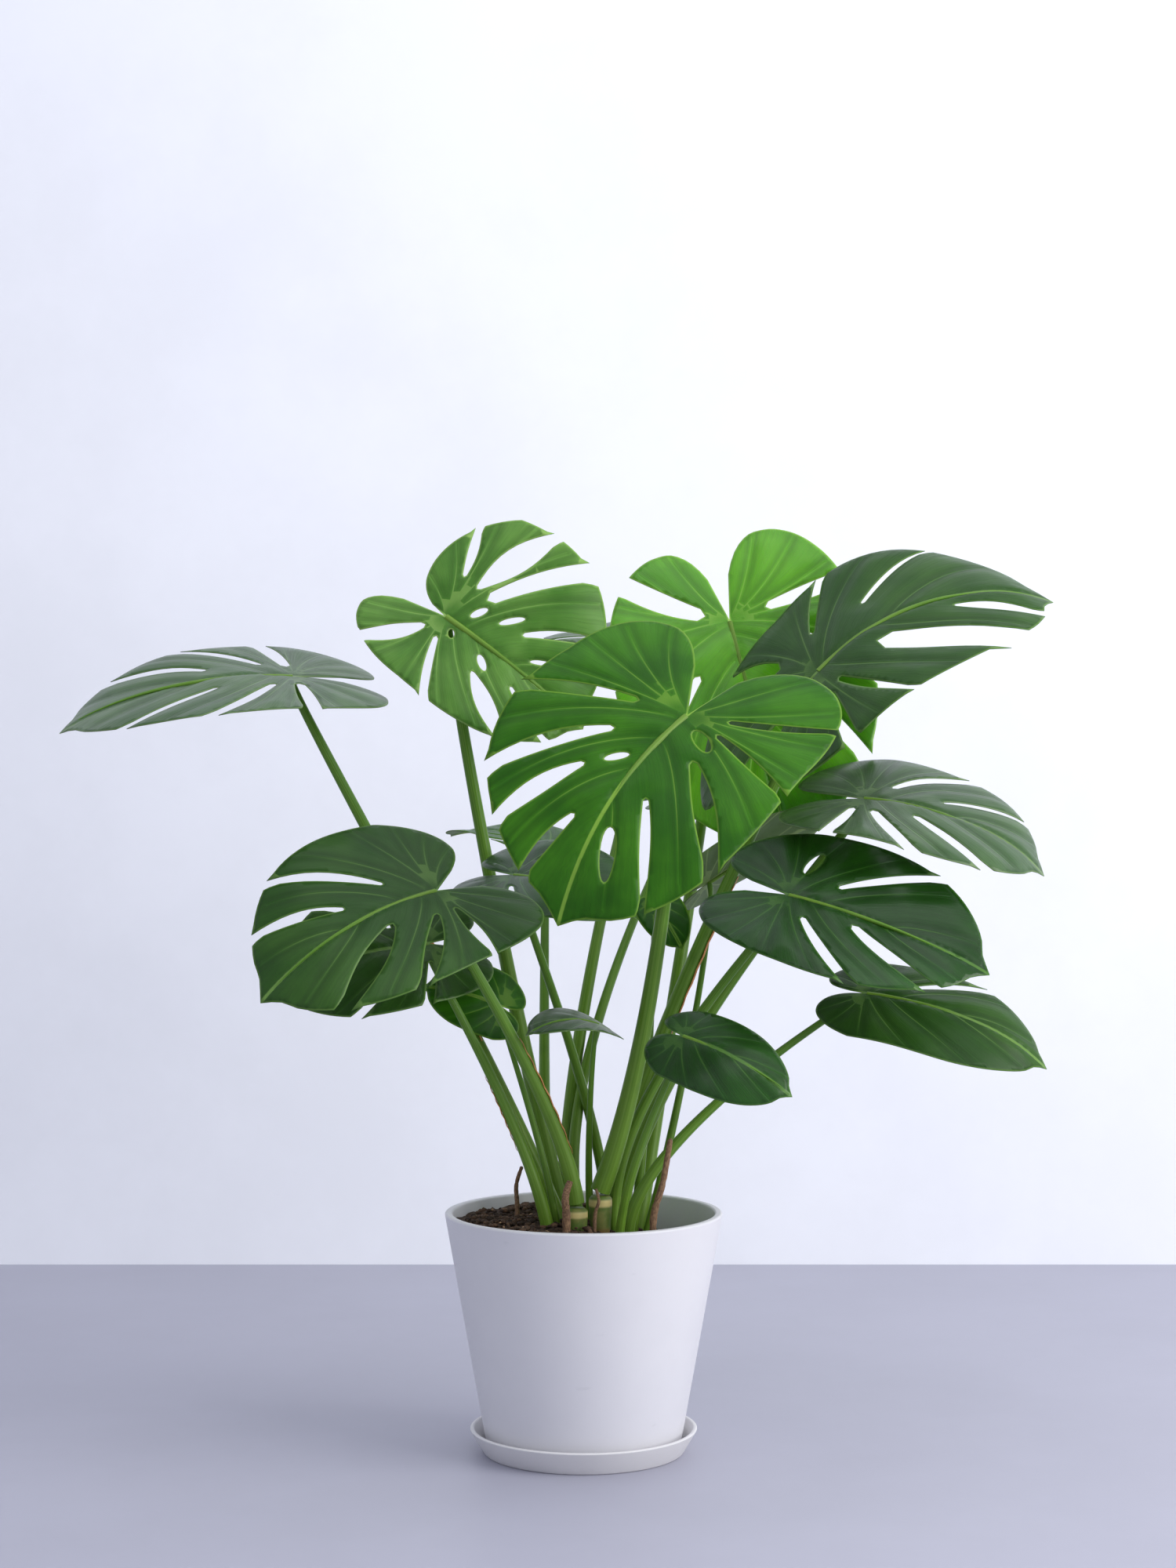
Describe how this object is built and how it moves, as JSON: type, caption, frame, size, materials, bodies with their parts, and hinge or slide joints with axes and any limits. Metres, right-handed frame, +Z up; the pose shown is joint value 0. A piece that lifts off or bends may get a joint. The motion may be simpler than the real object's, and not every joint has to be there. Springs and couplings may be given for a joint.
{
  "type": "potted monstera plant",
  "caption": "Monstera houseplant in a tapered round pot on a saucer: split and holed leaves spread on long upright stalks from a crown in the soil",
  "frame": {"origin": "middle of the saucer's underside, on the surface it stands on", "axes": "+Z up along the pot's axis, -Y towards the plant's front, +X to the right as the front is seen"},
  "size_m": [1.0753, 0.7456, 1.0129],
  "materials": {
    "pot": "smooth satin off-white with a faint cool tone",
    "saucer": "smooth satin off-white, slightly warmer than the pot",
    "soil": "loose crumbly potting mix, matt dark brown with tan bits",
    "leaf": "leathery green leaf with a soft sheen and paler veins",
    "stalk": "smooth yellow-green leaf stalk",
    "stem": "thick green stem with pale rings",
    "sheath": "dry orange-brown papery sheath",
    "root": "dull brown aerial root"
  },
  "bodies": {
    "root": {"pot": "pot", "saucer": "saucer", "soil": "soil", "blade_front": "leaf", "blade_top_left": "leaf", "blade_left_front": "leaf", "blade_far_left": "leaf", "blade_top_right": "leaf", "blade_top_back": "leaf", "blade_back": "leaf", "blade_right": "leaf", "blade_right_dark": "leaf", "blade_right_low": "leaf", "blade_small_front": "leaf", "blade_small_mid": "leaf", "blade_small_left": "leaf", "blade_low_left": "leaf", "blade_mid_left": "leaf", "blade_back_left": "leaf", "blade_mid_back": "leaf", "blade_pale": "leaf", "blade_small_oval": "leaf", "stalk_front": "stalk", "stalk_top_left": "stalk", "stalk_left_front": "stalk", "stalk_far_left": "stalk", "stalk_top_right": "stalk", "stalk_top_back": "stalk", "stalk_back": "stalk", "stalk_right": "stalk", "stalk_right_dark": "stalk", "stalk_right_low": "stalk", "stalk_small_front": "stalk", "stalk_small_mid": "stalk", "stalk_small_left": "stalk", "stalk_low_left": "stalk", "stalk_mid_left": "stalk", "stalk_back_left": "stalk", "stalk_mid_back": "stalk", "stalk_pale": "stalk", "stalk_small_oval": "stalk", "stem_front": "stem", "stem_left_front": "stem", "sheath_far_left": "sheath", "sheath_left_front": "sheath", "sheath_top_right": "sheath", "sheath_low_left": "sheath", "aerial_root_1": "root", "aerial_root_2": "root", "aerial_root_3": "root", "aerial_root_4": "root"}
  },
  "joints": []
}
